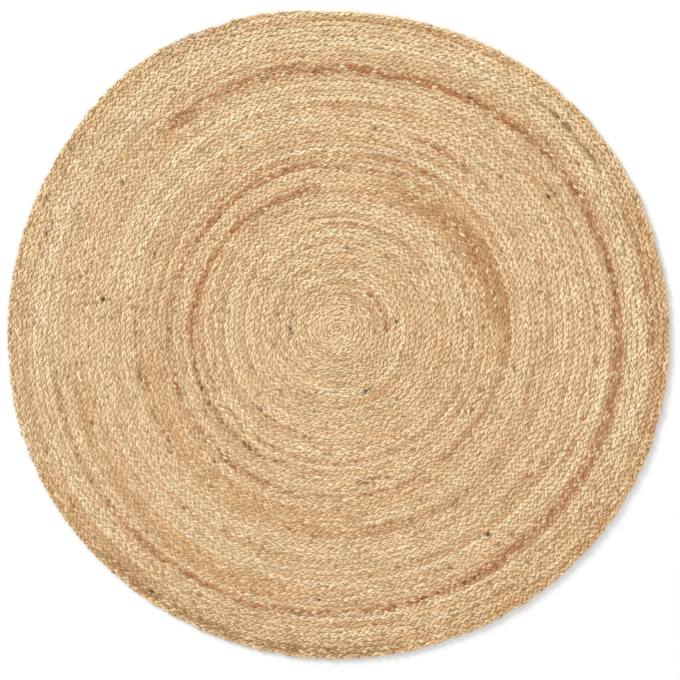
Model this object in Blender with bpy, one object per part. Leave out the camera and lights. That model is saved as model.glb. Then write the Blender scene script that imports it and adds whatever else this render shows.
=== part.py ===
"""A round rug: two narrow three-strand jute braids, coiled flat side by side and sewn edge to edge.

The pair of braids makes one ridge here on each turn of the coil.

Metres, +Z up. The rug lies on z = 0, with the middle of its box over the origin. Seen from above,
the coil grows clockwise from its heart. Angles are counter-clockwise from +X, and a place along
the pair is a number of turns, 0 at the heart and TURNS at the braids' end.
"""

import bmesh
import bpy
import math

# The pair of braids
PAIR_WIDTH = 0.0189
BRAID_THICKNESS = 0.0090
JOINT_HEIGHT = 0.0062  # where neighbouring turns are sewn together, below the crests

# The coil
HEART_RADIUS = 0.0095  # the braids' start, folded round on itself
TURNS = 31.75
START_TURNS = 0.15  # the first turn widens out of the heart over this much of a turn
TAIL_TURNS = 0.07  # the braids' end narrows to nothing over this much of a turn
END_ANGLE = math.radians(97)
STEPS_PER_TURN = 60

# The outer turns aren't quite round. Each row is a wave round the rim.
RIM_RADIUS = 0.600
WAVES = (
    # (crests round the rim, height, angle of a crest in degrees)
    (1, 0.0086, -65),
    (2, 0.0043, -8),
    (3, 0.0022, -10),
    (4, 0.0018, 34),
    (5, 0.0017, -23),
)

# The rim's side, rounded as a braid's is
RIM_HEIGHT = 0.0046  # where the side stands out furthest
RIM_TUCK = 0.0040  # how far the underside stops short of it

JUTE_COLOUR = (0.64, 0.44, 0.24, 1)
JUTE_ROUGHNESS = 0.92


def angle_at(turn):
    return END_ANGLE + math.tau * (TURNS - turn)


def width_at(turn):
    """The pair's width, which runs out at both of its ends. The pair starts one turn out."""
    widening = (turn - 1) / START_TURNS
    narrowing = (TURNS - turn) / TAIL_TURNS
    return PAIR_WIDTH * min(1, widening, narrowing)


def spiral_radius(turn):
    return HEART_RADIUS + PAIR_WIDTH * turn


def edge_radius(turn):
    """From the coil's middle to the pair's outer edge, as if the coil were round."""
    if turn < 1:
        return spiral_radius(turn + 1) - width_at(turn + 1)
    if turn > TURNS - TAIL_TURNS:
        return spiral_radius(turn - 1) + width_at(turn)
    return spiral_radius(turn)


def place(radius, turn, height):
    """A point at that radius of the round coil, moved out or in by the rim's waves."""
    angle = angle_at(turn)
    swell = sum(size * math.cos(crests * (angle - math.radians(peak))) for crests, size, peak in WAVES)
    uneven = radius + swell * (radius / RIM_RADIUS) ** 2
    return (uneven * math.cos(angle), uneven * math.sin(angle), height)


def edge_point(turn):
    on_rim = turn > TURNS - 1 - 0.5 / STEPS_PER_TURN
    return place(edge_radius(turn), turn, RIM_HEIGHT if on_rim else JOINT_HEIGHT)


def crest_point(turn):
    rise = (BRAID_THICKNESS - JOINT_HEIGHT) * width_at(turn) / PAIR_WIDTH
    return place((edge_radius(turn - 1) + edge_radius(turn)) / 2, turn, JOINT_HEIGHT + rise)


def foot_point(turn):
    return place(edge_radius(turn) - RIM_TUCK, turn, 0)


def add_face(mesh, *corners):
    """A face through these corners. Where two of them are one vertex, it has one side fewer."""
    mesh.faces.new(list(dict.fromkeys(corners)))


def coil_mesh():
    """One closed solid: heart, coiled ridge, rounded side and flat underside."""
    mesh = bmesh.new()
    last = round(TURNS * STEPS_PER_TURN)

    # The pair starts, and ends, as a point on the edge that it lies against.
    steps = [step for step in range(last) if step != STEPS_PER_TURN]
    edges = {step: mesh.verts.new(edge_point(step / STEPS_PER_TURN)) for step in steps}
    edges[STEPS_PER_TURN] = edges[0]
    edges[last] = edges[last - STEPS_PER_TURN]
    braid_steps = range(STEPS_PER_TURN + 1, last)
    crests = {step: mesh.verts.new(crest_point(step / STEPS_PER_TURN)) for step in braid_steps}
    crests[STEPS_PER_TURN] = edges[0]
    crests[last] = edges[last]

    heart = mesh.verts.new((0, 0, BRAID_THICKNESS))
    for step in range(STEPS_PER_TURN):
        add_face(mesh, heart, edges[step + 1], edges[step])

    for step in range(STEPS_PER_TURN, last):
        inner, inner_next = edges[step - STEPS_PER_TURN], edges[step + 1 - STEPS_PER_TURN]
        add_face(mesh, inner, inner_next, crests[step + 1], crests[step])
        add_face(mesh, crests[step], crests[step + 1], edges[step + 1], edges[step])

    rim_steps = range(last - STEPS_PER_TURN + 1, last + 1)
    rim = [edges[step] for step in rim_steps]
    foot = [mesh.verts.new(foot_point(step / STEPS_PER_TURN)) for step in rim_steps]
    for place_on_rim in range(STEPS_PER_TURN):
        before = place_on_rim - 1
        add_face(mesh, rim[before], rim[place_on_rim], foot[place_on_rim], foot[before])
    mesh.faces.new(foot)

    bmesh.ops.recalc_face_normals(mesh, faces=mesh.faces)
    return mesh


def centre_on_origin(mesh):
    """Puts the middle of the mesh's box over the origin."""
    xs = [vertex.co.x for vertex in mesh.verts]
    ys = [vertex.co.y for vertex in mesh.verts]
    middle = ((min(xs) + max(xs)) / 2, (min(ys) + max(ys)) / 2, 0)
    bmesh.ops.translate(mesh, verts=mesh.verts, vec=[-along for along in middle])


def jute_material():
    material = bpy.data.materials.new("jute")
    material.use_nodes = True
    shader = material.node_tree.nodes["Principled BSDF"]
    shader.inputs["Base Color"].default_value = JUTE_COLOUR
    shader.inputs["Roughness"].default_value = JUTE_ROUGHNESS
    shader.inputs["Metallic"].default_value = 0
    return material


def make_coil():
    shape = coil_mesh()
    centre_on_origin(shape)
    data = bpy.data.meshes.new("braided_coil")
    shape.to_mesh(data)
    shape.free()
    data.materials.append(jute_material())
    data.shade_smooth()
    data.set_sharp_from_angle(angle=math.radians(50))
    coil = bpy.data.objects.new("braided_coil", data)
    bpy.context.scene.collection.objects.link(coil)


for leftover in list(bpy.data.objects):
    bpy.data.objects.remove(leftover)
make_coil()
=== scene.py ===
"""The looks of a round jute rug: two narrow braids of three strands, coiled flat side by side.

Metres, +Z up, in the CAD model's frame. The braids are built as the real ones are made: three strands
pass over and under each other along the coil, which grows clockwise from its heart, seen from above. A
place along the coil is a number of turns, and a place across it is a radius. Both are those of a round
coil, which the rim's waves then make slightly uneven.
"""

import math

import bpy
import numpy as np
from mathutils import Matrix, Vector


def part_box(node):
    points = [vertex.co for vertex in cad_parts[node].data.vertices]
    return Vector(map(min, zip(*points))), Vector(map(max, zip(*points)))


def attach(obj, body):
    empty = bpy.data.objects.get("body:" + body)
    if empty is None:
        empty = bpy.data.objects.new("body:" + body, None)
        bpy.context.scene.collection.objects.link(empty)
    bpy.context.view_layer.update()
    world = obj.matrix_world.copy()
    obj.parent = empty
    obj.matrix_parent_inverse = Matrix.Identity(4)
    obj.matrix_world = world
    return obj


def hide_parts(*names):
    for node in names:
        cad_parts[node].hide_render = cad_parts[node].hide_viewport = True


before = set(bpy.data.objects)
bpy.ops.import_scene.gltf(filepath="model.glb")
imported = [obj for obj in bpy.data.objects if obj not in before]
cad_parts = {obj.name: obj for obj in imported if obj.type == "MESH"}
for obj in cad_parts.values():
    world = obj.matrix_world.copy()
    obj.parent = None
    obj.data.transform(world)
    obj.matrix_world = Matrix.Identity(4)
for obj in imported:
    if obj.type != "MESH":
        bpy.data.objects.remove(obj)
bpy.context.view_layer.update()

# The coil, as in the CAD model
TURN_WIDTH = 0.0189
HEART_RADIUS = 0.0095
TURNS = 31.75
END_ANGLE = math.radians(97)
PLAIN_TAIL_TURNS = 0.07  # its end narrows to nothing over this much of a turn
RIM_STEPS = 60  # its corners in a turn
RIM_RADIUS = 0.600
WAVES = (
    # (crests round the rim, height, angle of a crest in degrees)
    (1, 0.0086, -65),
    (2, 0.0043, -8),
    (3, 0.0022, -10),
    (4, 0.0018, 34),
    (5, 0.0017, -23),
)
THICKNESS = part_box("braided_coil")[1][2]

# The braids
START_TURN = -0.22  # both braids' start, bent round into the heart
INNER_END = TURNS + 0.006
OUTER_END = TURNS - 0.043  # the outer braid ends first
TAIL_TURNS = 0.030  # a braid's end narrows over this much of a turn
TAIL_NARROWING = 0.85  # how much of its width it loses there
TABLE_STEPS = 20000  # in the table of turns and lengths along a braid
STRANDS = 3
PERIOD = 0.0315  # along the braid, from one place of a strand to the next one like it
STEPS = 8  # of a strand's mesh in a period, which hit its highest and lowest places
SWAY = 0.0031  # a strand's sideways reach, from the middle of the braid
HALF_WIDTH = 0.0023  # of a strand's section
HALF_HEIGHT = 0.0027
MEAN_SWELL = 0.92  # how wide a strand is between its highest and lowest places
CROWN_SWELL = 0.08  # how much wider it is where it is highest, and narrower where it is lowest
LEAST_WIDTH = 0.35  # the least share of a strand's width, and of its height, where a braid is narrow
LEAST_HEIGHT = 0.6
SECTION = np.radians((5, 58, 122, 175, 270))  # round a strand, with 90 degrees at its top
LOWEST = 0.99  # the least sine of twice the phase at a strand's lowest steps

# How uneven the braids are: the size of a random change, followed for one that drifts along the braid
# by the metres from one random value to the next
BRAID_SHIFT = (0.0004, 0.08)  # sideways, in metres
STRAND_SHIFT = (0.0003, 0.03)
STITCH_SHIFT = 0.0008
STRAND_PHASE = (0.28, 0.03)  # along the braid, in radians of a period
STRAND_SWAY = (0.16, 0.02)  # as shares of the usual, from here on
STRAND_SIZE = (0.05, 0.15)
STITCH_SIZE = 0.25
STITCH_LIFT = 0.30
SIZE_IN_HEIGHT = 0.4  # how much of a change in a strand's width its height has too

rng = np.random.default_rng(11)


# ---- The coil's shape ----


def angle_at(turn):
    return END_ANGLE + math.tau * (TURNS - turn)


def outer_edge(turn):
    return HEART_RADIUS + TURN_WIDTH * turn


def inner_edge(turn):
    return np.maximum(HEART_RADIUS + TURN_WIDTH * (turn - 1), 0)


def uneven(radius, angle):
    """The rim's waves, which die away towards the middle."""
    swell = sum(size * np.cos(crests * (angle - math.radians(peak))) for crests, size, peak in WAVES)
    return radius + swell * (radius / RIM_RADIUS) ** 2


def middle_of_box():
    """The middle of the CAD coil's box, which lies over the origin."""
    turn = TURNS - np.arange(RIM_STEPS) / RIM_STEPS
    angle = angle_at(turn)
    width = TURN_WIDTH * np.clip((TURNS - turn) / PLAIN_TAIL_TURNS, 0, 1)
    radius = uneven(inner_edge(turn) + width, angle)
    across, along = radius * np.cos(angle), radius * np.sin(angle)
    return (across.min() + across.max()) / 2, (along.min() + along.max()) / 2


MIDDLE_X, MIDDLE_Y = middle_of_box()


def place(radius, angle):
    reach = uneven(radius, angle)
    return reach * np.cos(angle) - MIDDLE_X, reach * np.sin(angle) - MIDDLE_Y


# ---- The braids ----


def drift(spacing, length):
    """A smooth random function of the place along a braid, with a new value each spacing."""
    knots = rng.normal(size=int(length / spacing) + 3)
    return lambda run: np.interp(run / spacing, np.arange(len(knots)), knots)


class Braid:
    """One of the coil's two braids, between two edges that are shares of the turn's width."""

    def __init__(self, last_turn, shares):
        self.shares = shares
        self.last_turn = last_turn
        self.turn_table = np.linspace(START_TURN, last_turn, TABLE_STEPS)
        low, high = self.edges(self.turn_table)
        x, y = place((low + high) / 2, angle_at(self.turn_table))
        self.run_table = np.append(0, np.cumsum(np.hypot(np.diff(x), np.diff(y))))
        self.length = self.run_table[-1]
        self.shift = drift(BRAID_SHIFT[1], self.length)
        self.tone = drift(BRAID_TONE[1], self.length)
        self.grey = drift(BRAID_GREY[1], self.length)
        self.light = drift(BRAID_LIGHT[1], self.length)
        self.strands = [Strand(self, number) for number in range(STRANDS)]

    def edges(self, turn):
        inner, outer = inner_edge(turn), outer_edge(turn)
        low = inner + (outer - inner) * self.shares[0]
        high = inner + (outer - inner) * self.shares[1]
        narrowed = np.clip(1 - (self.last_turn - turn) / TAIL_TURNS, 0, TAIL_NARROWING)
        return low, high - (high - low) * narrowed

    def turn_at(self, run):
        return np.interp(run, self.run_table, self.turn_table)


class Strand:
    """A strand of a braid: its middle, size, frame and colour at each step."""

    def __init__(self, braid, number):
        self.braid = braid
        step_length = PERIOD / STEPS
        lag = number * PERIOD / STRANDS
        step = np.arange(math.ceil(lag / step_length), int((braid.length + lag) / step_length) + 1)
        self.place_on_braid = step * step_length - lag
        self.turn = braid.turn_at(self.place_on_braid)
        self.angle = angle_at(self.turn)
        self.stitch = step // (STEPS // 2) - step[0] // (STEPS // 2)
        self.phase = math.tau * step / STEPS
        phase = self.phase + self.drifting(*STRAND_PHASE)
        low, high = braid.edges(self.turn)
        share = (high - low) / (TURN_WIDTH * (braid.shares[1] - braid.shares[0]))
        sway = SWAY * share * np.sin(phase) * (1 + self.drifting(*STRAND_SWAY))
        radius = (low + high) / 2 + sway + BRAID_SHIFT[0] * braid.shift(self.place_on_braid)
        self.radius = radius + self.drifting(*STRAND_SHIFT) + STITCH_SHIFT * eased(self.per_stitch())
        x, y = place(self.radius, self.angle)
        rise = THICKNESS / 2 - HALF_HEIGHT
        lift = rise * np.sin(2 * phase) * (1 + STITCH_LIFT * eased(self.per_stitch()))
        self.centre = np.stack([x, y, THICKNESS / 2 - lift], 1)
        size = 1 + STITCH_SIZE * eased(self.per_stitch()) + self.drifting(*STRAND_SIZE)
        swelling = MEAN_SWELL - CROWN_SWELL * np.sin(2 * phase)
        self.half_width = HALF_WIDTH * np.clip(share, LEAST_WIDTH, 1) * size * swelling
        heightening = 1 - SIZE_IN_HEIGHT + SIZE_IN_HEIGHT * size
        self.half_height = HALF_HEIGHT * np.clip(share, LEAST_HEIGHT, 1) * heightening
        along = np.gradient(self.centre, axis=0)
        along /= np.linalg.norm(along, axis=1, keepdims=True)
        side = np.cross(along, (0.0, 0.0, 1.0))
        self.side = side / np.linalg.norm(side, axis=1, keepdims=True)
        self.up = np.cross(self.side, along)
        steps_apart = np.linalg.norm(np.diff(self.centre, axis=0), axis=1)
        self.run = np.append(0, np.cumsum(steps_apart))
        self.colour = strand_colour(self)

    def drifting(self, size, spacing):
        """A smooth random value of that size at each step, with a new one each spacing."""
        return size * drift(spacing, self.braid.length)(self.place_on_braid)

    def per_stitch(self):
        """A random value for each stitch, which is half a period of the strand, at each step."""
        return rng.normal(size=self.stitch[-1] + 1)[self.stitch]

    def rings(self, first, last):
        """The section's corners at each step from first to last."""
        part = slice(first, last + 1)
        wide = self.half_width[part, None, None] * np.cos(SECTION)[None, :, None]
        high = self.half_height[part, None, None] * np.sin(SECTION)[None, :, None]
        points = self.centre[part, None] + wide * self.side[part, None] + high * self.up[part, None]
        points[..., 2] = np.clip(points[..., 2], 0, None)
        return points

    def cut(self, turn):
        """The step nearest to this turn at which the strand is lowest, under the others."""
        low = np.flatnonzero(np.sin(2 * self.phase) > LOWEST)
        return low[np.abs(self.turn[low] - turn).argmin()]


def eased(values):
    """Takes the jumps between stitches out of a row of values."""
    padded = np.pad(values, 1, mode="edge")
    return (padded[:-2] + padded[1:-1] + padded[2:]) / 3


# ---- Colour ----

STRAW = (0.83, 0.620, 0.372)
CREAM = (0.90, 0.765, 0.530)
GREY = (0.73, 0.585, 0.400)
TAN = (0.68, 0.430, 0.208)
RUST = (0.47, 0.200, 0.078)
UMBER = (0.23, 0.100, 0.034)
BARK = (0.060, 0.030, 0.012)

# How the jute varies, given as the braids' unevenness is. A light tone is mixed with cream, and a dark
# one with tan, and a limit is the most that is mixed in.
BRAID_TONE = (0.75, 0.30)
STRAND_TONE = (0.65, 0.25)
STITCH_TONE = 0.60
BRAID_GREY = (0.6, 0.25)
STRAND_GREY = (0.6, 0.10)
BRAID_LIGHT = (0.02, 0.15)
STITCH_LIGHT = 0.05
CREAM_SHARE = 0.36
CREAM_LIMIT = 0.5
TAN_SHARE = 0.45
GREY_SHARE = 0.25

# A few stitches are rusty, dark or dirty: those whose random value is past a start
RUST_START = 1.7
RUST_SHARE = 0.5
RUST_ON_DARK = 0.5  # how much sooner where the braid is dark
SPECK_START = 1.95
SPECK_SHARE = 0.7
DIRT_START = 1.0
DIRT_SHARE = 0.22
DIRT_LIMIT = 2

# Stretches of the coil where the jute is darker, redder or paler
STAINS = (
    # (tone, strength, half width, ((degrees clockwise from the braids' end, radius), ...))
    (RUST, 0.58, 0.0090, ((324, 0.479), (360, 0.485))),
    (RUST, 0.66, 0.0090, ((0, 0.483), (18, 0.480), (36, 0.485), (54, 0.495))),
    (RUST, 0.40, 0.0105, ((54, 0.495), (72, 0.500), (92, 0.503))),
    (UMBER, 0.20, 0.0045, ((50, 0.493), (72, 0.500), (92, 0.503))),
    (RUST, 0.46, 0.0120, ((92, 0.503), (108, 0.506), (144, 0.509), (160, 0.513))),
    (RUST, 0.60, 0.0075, ((160, 0.513), (180, 0.515), (205, 0.526))),
    (RUST, 0.48, 0.0070, ((205, 0.526), (234, 0.525), (252, 0.524), (268, 0.522))),
    (RUST, 0.30, 0.0120, ((203, 0.491), (223, 0.489), (262, 0.486))),
    (UMBER, 0.40, 0.0030, ((156, 0.513), (172, 0.515))),
    (TAN, 0.55, 0.0150, ((198, 0.488), (223, 0.487), (270, 0.484))),
    (UMBER, 0.35, 0.0030, ((350, 0.494), (360, 0.494))),
    (RUST, 0.40, 0.0035, ((54, 0.461), (97, 0.465), (137, 0.471))),
    (RUST, 0.45, 0.0050, ((0, 0.296), (18, 0.297), (40, 0.300))),
    (RUST, 0.72, 0.0075, ((66, 0.303), (90, 0.304), (108, 0.303))),
    (RUST, 0.32, 0.0060, ((108, 0.303), (144, 0.305), (180, 0.307), (210, 0.313))),
    (RUST, 0.45, 0.0070, ((210, 0.313), (252, 0.313), (288, 0.308), (316, 0.304))),
    (RUST, 0.55, 0.0070, ((316, 0.304), (342, 0.301), (360, 0.303))),
    (TAN, 0.55, 0.0220, ((22, 0.284), (65, 0.286), (108, 0.288))),
    (RUST, 0.28, 0.0200, ((32, 0.272), (60, 0.282), (96, 0.290))),
    (RUST, 0.45, 0.0045, ((119, 0.281), (130, 0.282))),
    (RUST, 0.45, 0.0045, ((166, 0.282), (180, 0.283))),
    (UMBER, 0.36, 0.0055, ((216, 0.271), (241, 0.273), (270, 0.268))),
    (RUST, 0.48, 0.0070, ((270, 0.268), (288, 0.266), (306, 0.263), (342, 0.259), (360, 0.260))),
    (RUST, 0.30, 0.0035, ((54, 0.238), (162, 0.244), (270, 0.250))),
    (RUST, 0.35, 0.0035, ((0, 0.192), (61, 0.195))),
    (UMBER, 0.35, 0.0030, ((198, 0.204), (234, 0.206))),
    (RUST, 0.50, 0.0040, ((43, 0.0845), (101, 0.0876))),
    (RUST, 0.35, 0.0040, ((0, 0.0615), (108, 0.0671))),
    (RUST, 0.45, 0.0040, ((18, 0.327), (50, 0.329))),
    (RUST, 0.40, 0.0060, ((29, 0.377), (54, 0.372))),
    (RUST, 0.45, 0.0045, ((108, 0.360), (119, 0.361))),
    (RUST, 0.45, 0.0045, ((169, 0.365), (180, 0.366))),
    (TAN, 0.45, 0.0200, ((180, 0.358), (223, 0.359), (270, 0.359))),
    (UMBER, 0.30, 0.0030, ((241, 0.369), (288, 0.371))),
    (RUST, 0.45, 0.0050, ((133, 0.433), (144, 0.434))),
    (RUST, 0.55, 0.0045, ((163, 0.418), (168, 0.418))),
    (UMBER, 0.45, 0.0050, ((47, 0.555), (65, 0.556))),
    (RUST, 0.50, 0.0040, ((72, 0.557), (101, 0.564))),
    (RUST, 0.45, 0.0040, ((153, 0.559), (163, 0.560))),
    (TAN, 0.55, 0.0110, ((72, 0.581), (126, 0.585), (180, 0.588), (252, 0.592))),
    (UMBER, 0.22, 0.0090, ((180, 0.586), (234, 0.588))),
    (CREAM, 0.30, 0.0180, ((234, 0.546), (288, 0.549), (360, 0.552))),
    (CREAM, 0.30, 0.0180, ((0, 0.534), (72, 0.538), (126, 0.541))),
    (CREAM, 0.55, 0.0060, ((288, 0.388), (360, 0.392))),
    (CREAM, 0.25, 0.0260, ((288, 0.410), (360, 0.414))),
    (CREAM, 0.55, 0.0060, ((180, 0.116), (205, 0.118))),
    (CREAM, 0.15, 0.0450, ((0, 0.010), (180, 0.010), (360, 0.010))),
)
STAIN_STRENGTH = 1.3  # a factor of them all
STAIN_END = 3.0  # degrees over which a stain fades in and out
STAIN_MEAN = 0.95  # of its strength, which varies as below
STRAND_STAIN = (0.4, 0.05)
STITCH_STAIN = 0.9
STAIN_LIMIT = 2.0

# Slivers of bark and dark fibre in the strands
FLECKS = (
    # (tone, degrees clockwise from the braids' end, radius, length)
    (BARK, 90, 0.106, 0.010),
    (BARK, 162, 0.125, 0.017),
    (BARK, 274, 0.087, 0.015),
    (UMBER, 292, 0.086, 0.010),
    (RUST, 202, 0.157, 0.010),
    (RUST, 230, 0.155, 0.010),
    (UMBER, 119, 0.124, 0.008),
    (UMBER, 110, 0.326, 0.009),
    (BARK, 65, 0.452, 0.012),
    (UMBER, 54, 0.406, 0.009),
    (BARK, 151, 0.461, 0.009),
    (UMBER, 162, 0.478, 0.010),
    (BARK, 241, 0.378, 0.010),
    (UMBER, 256, 0.478, 0.009),
    (BARK, 284, 0.434, 0.010),
    (UMBER, 295, 0.565, 0.012),
    (UMBER, 311, 0.480, 0.010),
    (BARK, 212, 0.267, 0.008),
    (BARK, 191, 0.495, 0.009),
    (UMBER, 205, 0.503, 0.010),
)
FLECK_HALF_WIDTH = 0.0030


def mixed(colour, other, share):
    share = np.clip(share, 0, 1)[:, None]
    return colour * (1 - share) + np.array(other) * share


def stain_share(path, half_width, degrees, radius):
    """How far each place lies inside a stain, from 0 to 1."""
    along, reach = zip(*path)
    off = (radius - np.interp(degrees, along, reach)) / half_width
    begun = 1 if along[0] == 0 else (degrees - along[0]) / STAIN_END + 0.5
    unfinished = 1 if along[-1] == 360 else (along[-1] - degrees) / STAIN_END + 0.5
    return np.exp(-off ** 4) * np.clip(begun, 0, 1) * np.clip(unfinished, 0, 1)


def strand_colour(strand):
    """The strand's colour at each step."""
    braid = strand.braid
    run = strand.place_on_braid
    tone = BRAID_TONE[0] * braid.tone(run) + strand.drifting(*STRAND_TONE)
    tone += STITCH_TONE * strand.per_stitch()
    grey = BRAID_GREY[0] * braid.grey(run) + strand.drifting(*STRAND_GREY)
    colour = np.tile(STRAW, (len(run), 1))
    colour = mixed(colour, CREAM, np.minimum(CREAM_SHARE * tone, CREAM_LIMIT))
    colour = mixed(colour, TAN, -TAN_SHARE * tone)
    colour = mixed(colour, GREY, GREY_SHARE * grey)
    rust = strand.per_stitch() - RUST_ON_DARK * braid.tone(run) - RUST_START
    colour = mixed(colour, RUST, RUST_SHARE * rust)
    degrees = np.degrees(END_ANGLE - strand.angle) % 360
    patchy = STAIN_MEAN + strand.drifting(*STRAND_STAIN) + STITCH_STAIN * strand.per_stitch()
    for stain, strength, half_width, path in STAINS:
        share = STAIN_STRENGTH * strength * stain_share(path, half_width, degrees, strand.radius)
        colour = mixed(colour, stain, share * np.clip(patchy, 0, STAIN_LIMIT))
    crown = np.clip(-np.sin(2 * strand.phase), 0, 1)
    colour = mixed(colour, UMBER, SPECK_SHARE * crown * (strand.per_stitch() > SPECK_START))
    for fleck, degrees_there, radius, length in FLECKS:
        along = np.radians(degrees - degrees_there) * radius / (length / 2)
        across = (strand.radius - radius) / FLECK_HALF_WIDTH
        colour = mixed(colour, fleck, np.exp(-along ** 4 - across ** 4))
    dirt = np.clip(strand.per_stitch() - DIRT_START, 0, DIRT_LIMIT)
    light = STITCH_LIGHT * strand.per_stitch() + BRAID_LIGHT[0] * braid.light(run)
    return colour * darkening(1 + light - DIRT_SHARE * dirt)


DARKENING = (1.0, 1.16, 1.40)  # powers of a shade, for red, green and blue
DARKEST = 0.1


def darkening(shade):
    """A shade as a factor of the colour, redder where darker: it carries the painted shade in the gaps and
    down the strands' sides, and the stitches' dirt and random lightness.
    """
    return np.clip(shade, DARKEST, None)[..., None] ** np.array(DARKENING)


# ---- Meshes ----

BAKE_MAP = "OFBake"
FIBRE_MAP = "fibre"
MAP_EDGE = 0.004  # left free between the rows of strands on the bake's map, and beside them
FIBRE_WRAP = 5  # the fibres' map round a strand, in half widths: a little less than its girth
PAINTED_GAP_SHADE = 0.88  # the jute's brightness down between the strands: painted shade, where shade falls in the gaps
PAINTED_SIDE_SHADE = 0.89  # painted shade at a strand's sides, and the lesser one at its crown, which is drawn lighter where light falls
PAINTED_CROWN_SHADE = 0.93
PAINTED_GAP_PLACES = (0.20, 0.35)  # where the painted gap shade starts to fade, and over how much, in half thicknesses
SHARP_ANGLE = math.radians(80)


def add_piece(name, points, faces, material):
    mesh = bpy.data.meshes.new(name)
    mesh.from_pydata(points, [], faces)
    mesh.materials.append(material)
    mesh.shade_smooth()
    piece = bpy.data.objects.new(name, mesh)
    bpy.context.scene.collection.objects.link(piece)
    return piece


def strip_map(quads, sides, rows, first_row, all_rows):
    """The corners of a strand's faces on the bake's map, where the strand is cut into rows.

    One edge stays free on the left and three on the right, where the strand's ends go.
    """
    per_row = math.ceil(quads / rows)
    row, column = np.divmod(np.arange(quads), per_row)
    width = (1 - 4 * MAP_EDGE) / per_row
    height = 1 / all_rows - MAP_EDGE
    left = MAP_EDGE + column * width
    low = (first_row + row) / all_rows + MAP_EDGE / 2
    u = np.stack([left, left + width, left + width, left], 1)[:, None, :].repeat(sides, 1)
    v_low = low[:, None] + np.arange(sides) / sides * height
    v_high = v_low + height / sides
    v = np.stack([v_low, v_low, v_high, v_high], 2)
    return np.stack([u, v], 3).reshape(-1, 2)


def cap_map(number, count, sides):
    """The corners of a strand's end on the bake's map, in a column beside the rows."""
    turns = np.arange(sides) / sides * math.tau
    u = 1 - MAP_EDGE * (1 + 0.5 * np.cos(turns))
    v = (number + 0.5) / count + MAP_EDGE * 0.5 * np.sin(turns)
    return np.stack([u, v], 1)


def fibre_map(run, sides, number, half_width):
    """The corners of a strand's faces in metres along and round the strand, for its fibres."""
    u = np.stack([run[:-1], run[1:], run[1:], run[:-1]], 1)[:, None, :].repeat(sides, 1)
    v = (np.arange(sides)[:, None] + np.array((0, 0, 1, 1))[None, :]) * FIBRE_WRAP * half_width / sides
    v = np.broadcast_to(v[None], u.shape) + number
    return np.stack([u, v], 3).reshape(-1, 2)


def painted_section_shade(rings):
    """Painted shade at each corner of a strand: the jute is drawn less bright down its sides and in the
    gaps, where shade falls.
    """
    off_middle = np.abs(rings[..., 2] - THICKNESS / 2) / (THICKNESS / 2)
    rise = np.clip((off_middle - PAINTED_GAP_PLACES[0]) / PAINTED_GAP_PLACES[1], 0, 1)
    painted_roundness = PAINTED_SIDE_SHADE + (PAINTED_CROWN_SHADE - PAINTED_SIDE_SHADE) * np.abs(np.sin(SECTION))
    return (PAINTED_GAP_SHADE + (1 - PAINTED_GAP_SHADE) * rise) * painted_roundness


def turn_mesh(name, stretches, rows, material):
    """Stretches of strands as one piece, each closed at its ends. A stretch is a strand and two steps."""
    points, faces, caps, bake, cap_bake, fibre, tones_with_painted_shade = [], [], [], [], [], [], []
    sides = len(SECTION)
    start = 0
    for number, (strand, first, last) in enumerate(stretches):
        rings = strand.rings(first, last)
        quads = last - first
        points.append(rings.reshape(-1, 3))
        ring = np.arange(quads)[:, None] * sides + start
        side = np.arange(sides)[None, :]
        after = (side + 1) % sides
        corners = (ring + side, ring + sides + side, ring + sides + after, ring + after)
        faces += np.stack(corners, 2).reshape(-1, 4).tolist()
        caps.append([start + corner for corner in range(sides)])
        caps.append([start + quads * sides + corner for corner in reversed(range(sides))])
        bake.append(strip_map(quads, sides, rows, number * rows, len(stretches) * rows))
        for end in range(2):
            cap_bake.append(cap_map(2 * number + end, 2 * len(stretches), sides))
        fibre.append(fibre_map(strand.run[first:last + 1], sides, number, strand.half_width.mean()))
        # painted shade, darker down between the strands and on their sides, is multiplied into their colour
        # here
        shade = darkening(painted_section_shade(rings))
        tones_with_painted_shade.append((strand.colour[first:last + 1, None] * shade).reshape(-1, 3))
        start += (quads + 1) * sides
    piece = add_piece(name, np.concatenate(points), faces + caps, material)
    mesh = piece.data
    for map_name, corners in ((BAKE_MAP, bake + cap_bake), (FIBRE_MAP, fibre + cap_bake)):
        layer = mesh.uv_layers.new(name=map_name)
        layer.uv.foreach_set("vector", np.concatenate(corners).astype(np.float32).ravel())
    colours = np.concatenate(tones_with_painted_shade)
    colours = np.concatenate([colours, np.ones((len(colours), 1))], 1)
    # the vertex colour holds the jute's colour with the painted shade in it
    tone = mesh.color_attributes.new("tone", "FLOAT_COLOR", "POINT")
    tone.data.foreach_set("color", colours.astype(np.float32).ravel())
    mesh.set_sharp_from_angle(angle=SHARP_ANGLE)
    return piece


# ---- Materials ----

# Streaks along a strand: their length and width, and the factors of the colour in a dark and a light one
BUNDLES = (0.008, 0.0016, (0.81, 0.77, 0.72), (1.10, 1.12, 1.14))
FIBRES = (0.018, 0.0007, (0.88, 0.86, 0.83), (1.10, 1.11, 1.13))
NOISE_DARK = 0.3  # the noise that makes a streak its darkest, and its lightest
NOISE_LIGHT = 0.7
BUMP_STRENGTH = 0.3
BUMP_DISTANCE = 0.0008
JUTE_ROUGHNESS = 0.85
JUTE_SPECULAR = 0.15
JUTE_SHEEN = 0.08
SHEEN_ROUGHNESS = 0.5
SHEEN_TINT = (1.0, 0.80, 0.55)


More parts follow.
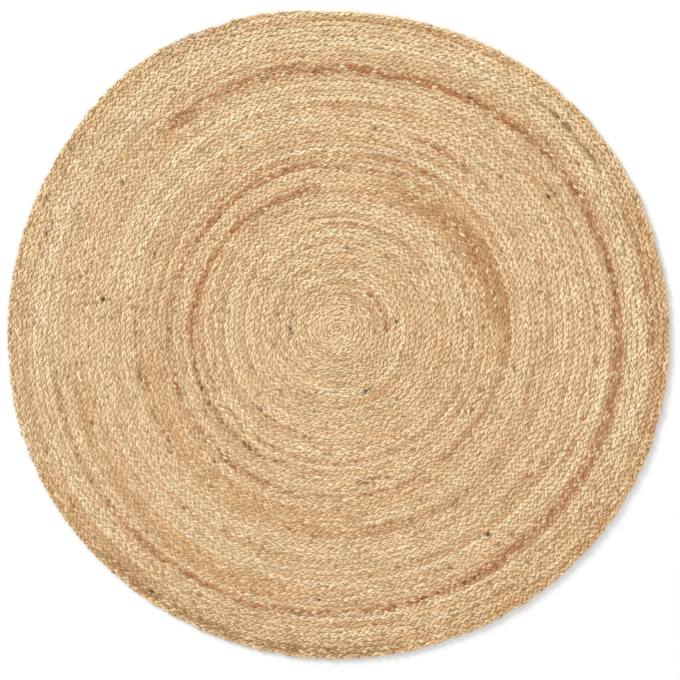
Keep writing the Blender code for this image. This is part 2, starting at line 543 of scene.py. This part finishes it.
def streaks(material, fibre, length, width, dark, light):
    """Noise that is drawn out along the strand, and the colour factor that it makes."""
    nodes, links = material.node_tree.nodes, material.node_tree.links
    stretch = nodes.new("ShaderNodeMapping")
    stretch.inputs["Scale"].default_value = (1 / length, 1 / width, 1)
    links.new(fibre.outputs["UV"], stretch.inputs["Vector"])
    noise = nodes.new("ShaderNodeTexNoise")
    noise.noise_dimensions = "2D"
    noise.inputs["Scale"].default_value = 1
    noise.inputs["Detail"].default_value = 1
    links.new(stretch.outputs["Vector"], noise.inputs["Vector"])
    ramp = nodes.new("ShaderNodeValToRGB")
    first, last = ramp.color_ramp.elements
    first.position, last.position = NOISE_DARK, NOISE_LIGHT
    first.color, last.color = (*dark, 1), (*light, 1)
    links.new(noise.outputs["Fac"], ramp.inputs["Fac"])
    return noise.outputs["Fac"], ramp.outputs["Color"]


def combine(material, node, operation, first, second):
    """A maths node of two inputs."""
    maths = material.node_tree.nodes.new(node)
    maths.operation = operation
    material.node_tree.links.new(first, maths.inputs[0])
    material.node_tree.links.new(second, maths.inputs[1])
    return maths.outputs[0]


def jute_material():
    material = bpy.data.materials.new("jute")
    material.use_nodes = True
    nodes, links = material.node_tree.nodes, material.node_tree.links
    shader = nodes["Principled BSDF"]
    shader.inputs["Roughness"].default_value = JUTE_ROUGHNESS
    shader.inputs["Specular IOR Level"].default_value = JUTE_SPECULAR
    shader.inputs["Sheen Weight"].default_value = JUTE_SHEEN
    shader.inputs["Sheen Roughness"].default_value = SHEEN_ROUGHNESS
    shader.inputs["Sheen Tint"].default_value = (*SHEEN_TINT, 1)

    tone = nodes.new("ShaderNodeAttribute")
    tone.attribute_name = "tone"
    fibre = nodes.new("ShaderNodeUVMap")
    fibre.uv_map = FIBRE_MAP
    bundle_height, bundle_factor = streaks(material, fibre, *BUNDLES)
    fibre_height, fibre_factor = streaks(material, fibre, *FIBRES)
    factor = combine(material, "ShaderNodeVectorMath", "MULTIPLY", bundle_factor, fibre_factor)
    colour = combine(material, "ShaderNodeVectorMath", "MULTIPLY", tone.outputs["Color"], factor)
    links.new(colour, shader.inputs["Base Color"])
    height = combine(material, "ShaderNodeMath", "ADD", bundle_height, fibre_height)
    bump = nodes.new("ShaderNodeBump")
    bump.inputs["Strength"].default_value = BUMP_STRENGTH
    bump.inputs["Distance"].default_value = BUMP_DISTANCE
    links.new(height, bump.inputs["Height"])
    links.new(bump.outputs["Normal"], shader.inputs["Normal"])
    return material


def plain_material(name, colour, roughness):
    material = bpy.data.materials.new(name)
    material.use_nodes = True
    shader = material.node_tree.nodes["Principled BSDF"]
    shader.inputs["Base Color"].default_value = (*colour, 1)
    shader.inputs["Roughness"].default_value = roughness
    return material


# ---- The rug ----

jute = jute_material()
braids = (Braid(INNER_END, (0.0, 0.5)), Braid(OUTER_END, (0.5, 1.0)))

ROWS_PER_METRE = 1.1  # rows of each strand on the bake's map, for each metre of its piece


def stretches_of(braid, first_turn, last_turn):
    """Each strand of a braid between two turns, or up to the strand's own start or end."""
    found = []
    for strand in braid.strands:
        first = 0 if first_turn <= strand.turn[0] else strand.cut(first_turn)
        last = len(strand.turn) - 1 if last_turn >= strand.turn[-1] else strand.cut(last_turn)
        found.append((strand, first, last))
    return found


# The turns at which the strands are cut into pieces. The first few turns are short, and share pieces.
cuts = [START_TURN, 3, *range(5, int(TURNS)), INNER_END]
turns = []
for number, (first_turn, last_turn) in enumerate(zip(cuts, cuts[1:]), start=1):
    stretches = [stretch for braid in braids for stretch in stretches_of(braid, first_turn, last_turn)]
    length = math.tau * outer_edge(last_turn) * (last_turn - first_turn)
    rows = max(1, round(ROWS_PER_METRE * length))
    piece = turn_mesh(f"turn_{number:02d}", stretches, rows, jute)
    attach(piece, "root")
    turns.append(piece)

# The imported jute inside the rug, drawn darker than the strands: partly its own colour, partly painted
# shade of the deep gaps
GROUND_LOW = 0.0030
GROUND_HIGH = 0.0058
GROUND_INSET = 0.006  # from the rim
GROUND_STEPS = 240
GROUND_RINGS = (0.2, 0.4, 0.6, 0.8, 1.0)  # shares of the way to its edge
# darker than the strands' jute: partly the jute's own colour, partly painted shade
GROUND_COLOUR_WITH_PAINTED_SHADE = (0.50, 0.33, 0.17)
GROUND_ROUGHNESS = 0.95


def rim_edge(turn):
    """The rim on the last turn, which steps in where each narrow braid ends."""
    half_in = outer_edge(turn) - TURN_WIDTH / 2
    edge = np.where(turn < OUTER_END - TAIL_TURNS, outer_edge(turn), half_in)
    return np.where(turn < INNER_END - TAIL_TURNS, edge, inner_edge(turn))


def ground_mesh():
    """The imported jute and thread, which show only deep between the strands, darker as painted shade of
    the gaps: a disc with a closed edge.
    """
    turn = TURNS - np.arange(GROUND_STEPS) / GROUND_STEPS
    angle = angle_at(turn)
    reach = rim_edge(turn) - GROUND_INSET
    points = []
    for height in (GROUND_LOW, GROUND_HIGH):
        for share in GROUND_RINGS:
            x, y = place(reach * share, angle)
            points.append(np.stack([x, y, np.full_like(x, height)], 1))
    x, y = place(np.zeros(1), np.zeros(1))
    points.append(np.array([[x[0], y[0], GROUND_LOW], [x[0], y[0], GROUND_HIGH]]))
    count = GROUND_STEPS
    levels = len(GROUND_RINGS)
    low_heart = 2 * levels * count
    faces = []
    for corner in range(count):
        after = (corner + 1) % count
        faces.append((low_heart, corner, after))
        faces.append((low_heart + 1, levels * count + after, levels * count + corner))
        for level in range(levels - 1):
            inner, outer = level * count, (level + 1) * count
            faces.append((inner + corner, outer + corner, outer + after, inner + after))
            inner, outer = inner + levels * count, outer + levels * count
            faces.append((inner + corner, inner + after, outer + after, outer + corner))
        inner, outer = (levels - 1) * count, (2 * levels - 1) * count
        faces.append((inner + corner, outer + corner, outer + after, inner + after))
    return np.concatenate(points), faces


points, faces = ground_mesh()
ground_material = plain_material("inner_jute", GROUND_COLOUR_WITH_PAINTED_SHADE, GROUND_ROUGHNESS)
ground = add_piece("inner_jute", points, faces, ground_material)
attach(ground, "root")
for piece in turns:
    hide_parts("braided_coil")

# ---- Floor, light and camera ----

FLOOR_SIZE = 12
FLOOR_HEIGHT = -0.0002  # just clear of the rug
FLOOR_COLOUR = (0.81, 0.81, 0.81)
FLOOR_ROUGHNESS = 0.9
KEY_PLACE = (-10.0, 9.2, 7.2)  # the key light aims at the rug's middle
KEY_SIZE = 5.4  # across its disc
KEY_POWER = 1760
WORLD_STRENGTH = 0.94

bpy.ops.mesh.primitive_plane_add(size=FLOOR_SIZE, location=(0, 0, FLOOR_HEIGHT))
floor = bpy.context.object
floor.name = "floor"
floor.data.materials.append(plain_material("floor", FLOOR_COLOUR, FLOOR_ROUGHNESS))

light = bpy.data.lights.new("key", "AREA")
light.shape = "DISK"
light.size = KEY_SIZE
light.energy = KEY_POWER
lamp = bpy.data.objects.new("key", light)
lamp.location = KEY_PLACE
lamp.rotation_euler = (-lamp.location).to_track_quat("-Z", "Y").to_euler()
bpy.context.scene.collection.objects.link(lamp)

world = bpy.data.worlds.new("studio")
world.use_nodes = True
world.node_tree.nodes["Background"].inputs["Color"].default_value = (1, 1, 1, 1)
world.node_tree.nodes["Background"].inputs["Strength"].default_value = WORLD_STRENGTH
bpy.context.scene.world = world

# The camera looks straight down
VIEW_WIDTH = 1.2376  # across the picture, at the height of the rug's top
VIEW_CENTRE = (0.0036, -0.0091)
LENS = 100
SENSOR = 36
camera_data = bpy.data.cameras.new("camera")
camera_data.lens = LENS
camera_data.sensor_width = SENSOR
camera = bpy.data.objects.new("camera", camera_data)
camera.location = (*VIEW_CENTRE, THICKNESS + VIEW_WIDTH * LENS / SENSOR)
bpy.context.scene.collection.objects.link(camera)
bpy.context.scene.camera = camera
bpy.context.scene.view_settings.view_transform = "Standard"
